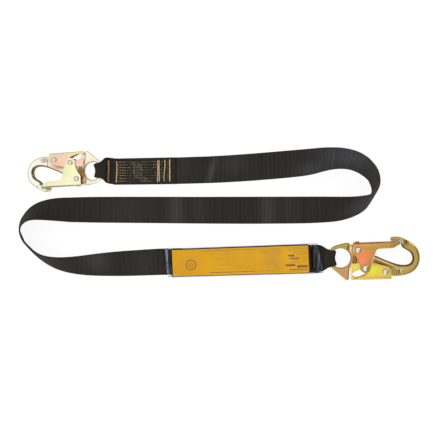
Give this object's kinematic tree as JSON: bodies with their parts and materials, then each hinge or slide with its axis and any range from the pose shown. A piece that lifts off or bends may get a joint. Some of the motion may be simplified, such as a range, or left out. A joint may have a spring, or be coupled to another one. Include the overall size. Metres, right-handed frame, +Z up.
{
  "type": "shock absorbing lanyard",
  "caption": "Webbing fall-arrest lanyard laid in an S, a double-action snap hook sewn into each end and a tear-out energy absorber in clear film next to one hook.",
  "frame": {"origin": "centre of the laid-out lanyard's box, on the floor", "axes": "+Z up from the floor, +X along the webbing runs towards hook B, +Y towards the upper run and hook A"},
  "size_m": [0.6454, 0.2074, 0.0443],
  "materials": {
    "zinc_yellow_steel": "yellow iridescent zinc plate over forged and pressed steel",
    "rivet_steel": "bright domed rivet heads",
    "spring_steel": "oiled spring wire",
    "black_webbing": "ribbed polyester webbing with a slight sheen",
    "tan_thread": "raised bonded thread",
    "yellow_label": null,
    "clear_film": "clear shrink film, crinkled ends"
  },
  "bodies": {
    "absorber_pack": {"webbing_lower_run": "black_webbing", "tear_webbing": "black_webbing", "pack_label": "yellow_label", "clear_cover": "clear_film", "webbing_tail_b": "black_webbing", "bartack_b1": "tan_thread", "bartack_c1": "tan_thread"},
    "middle_run": {"webbing_middle_run": "black_webbing"},
    "upper_run": {"webbing_upper_run": "black_webbing", "webbing_sewn_end_a": "black_webbing", "bartack_a1": "tan_thread", "bartack_a2": "tan_thread", "bartack_a3": "tan_thread", "bartack_a4": "tan_thread", "bartack_a5": "tan_thread", "stitch_rows_a": "tan_thread"},
    "eye_loop_a": {"webbing_eye_a": "black_webbing"},
    "hook_a": {"hook_body_a": "zinc_yellow_steel", "gate_pivot_rivet_a": "rivet_steel", "lever_pivot_rivet_a": "rivet_steel", "gate_spring_a": "spring_steel", "lever_spring_a": "spring_steel"},
    "gate_a": {"gate_a": "zinc_yellow_steel", "gate_lock_pin_a": "rivet_steel"},
    "lever_a": {"lock_lever_a": "zinc_yellow_steel"},
    "eye_loop_b": {"webbing_eye_b": "black_webbing"},
    "hook_b": {"hook_body_b": "zinc_yellow_steel", "gate_pivot_rivet_b": "rivet_steel", "lever_pivot_rivet_b": "rivet_steel", "gate_spring_b": "spring_steel", "lever_spring_b": "spring_steel"},
    "gate_b": {"gate_b": "zinc_yellow_steel", "gate_lock_pin_b": "rivet_steel"},
    "lever_b": {"lock_lever_b": "zinc_yellow_steel"}
  },
  "joints": [
    {"name": "bend_left", "type": "hinge", "parent": "absorber_pack", "child": "middle_run", "pos_m": [-0.31842, -0.02437, 0.0228], "axis": [0, 0, 1], "range_deg": [0, 60]},
    {"name": "bend_right", "type": "hinge", "parent": "middle_run", "child": "upper_run", "pos_m": [0.25798, 0.03363, 0.0228], "axis": [0, 0, -1], "range_deg": [0, 60]},
    {"name": "neck_flex_a", "type": "hinge", "parent": "upper_run", "child": "eye_loop_a", "pos_m": [-0.16226, 0.07124, 0.00275], "axis": [-0.0523, 0.9986, 0], "range_deg": [0, 75]},
    {"name": "eye_swing_a", "type": "hinge", "parent": "eye_loop_a", "child": "hook_a", "pos_m": [-0.18922, 0.06983, 0.0116], "axis": [0, 0, 1], "range_deg": [-40, 2]},
    {"name": "gate_open_a", "type": "hinge", "parent": "hook_a", "child": "gate_a", "pos_m": [-0.21438, 0.05699, 0.0116], "axis": [0, 0, -1], "range_deg": [0, 26]},
    {"name": "lever_squeeze_a", "type": "hinge", "parent": "hook_a", "child": "lever_a", "pos_m": [-0.2545, 0.08884, 0.0116], "axis": [0, 0, -1], "range_deg": [0, 9]},
    {"name": "neck_flex_b", "type": "hinge", "parent": "absorber_pack", "child": "eye_loop_b", "pos_m": [0.18091, -0.06904, 0.00275], "axis": [0.0471, -0.9989, 0], "range_deg": [0, 55]},
    {"name": "eye_swing_b", "type": "hinge", "parent": "eye_loop_b", "child": "hook_b", "pos_m": [0.20788, -0.06777, 0.0116], "axis": [0, 0, 1], "range_deg": [-40, 12]},
    {"name": "gate_open_b", "type": "hinge", "parent": "hook_b", "child": "gate_b", "pos_m": [0.23311, -0.05507, 0.0116], "axis": [0, 0, -1], "range_deg": [0, 26]},
    {"name": "lever_squeeze_b", "type": "hinge", "parent": "hook_b", "child": "lever_b", "pos_m": [0.27306, -0.08712, 0.0116], "axis": [0, 0, -1], "range_deg": [0, 9]}
  ],
  "couplings": [
    {"joint": "lever_squeeze_a", "follows": "gate_open_a", "ratio": 0.346},
    {"joint": "lever_squeeze_b", "follows": "gate_open_b", "ratio": 0.346}
  ]
}
